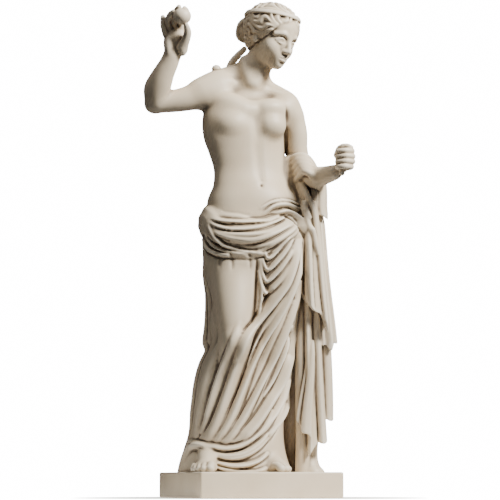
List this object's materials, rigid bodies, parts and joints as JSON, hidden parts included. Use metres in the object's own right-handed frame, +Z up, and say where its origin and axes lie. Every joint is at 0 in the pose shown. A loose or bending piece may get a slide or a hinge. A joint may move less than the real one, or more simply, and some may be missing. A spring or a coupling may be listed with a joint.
{
  "type": "statue",
  "caption": "Half-draped standing goddess on a rectangular plinth, right arm raised with an apple, left fist round a short handle, cloth falling from hips and left arm.",
  "frame": {"origin": "middle of the plinth's underside", "axes": "+Z up, -Y out of the plinth's front, +X to the figure's left"},
  "size_m": [0.2958, 0.2292, 0.7703],
  "materials": {
    "marble": "matte ivory bonded marble with a brown wash in the folds"
  },
  "bodies": {
    "root": {"aphrodite_statue": "marble"}
  },
  "joints": []
}
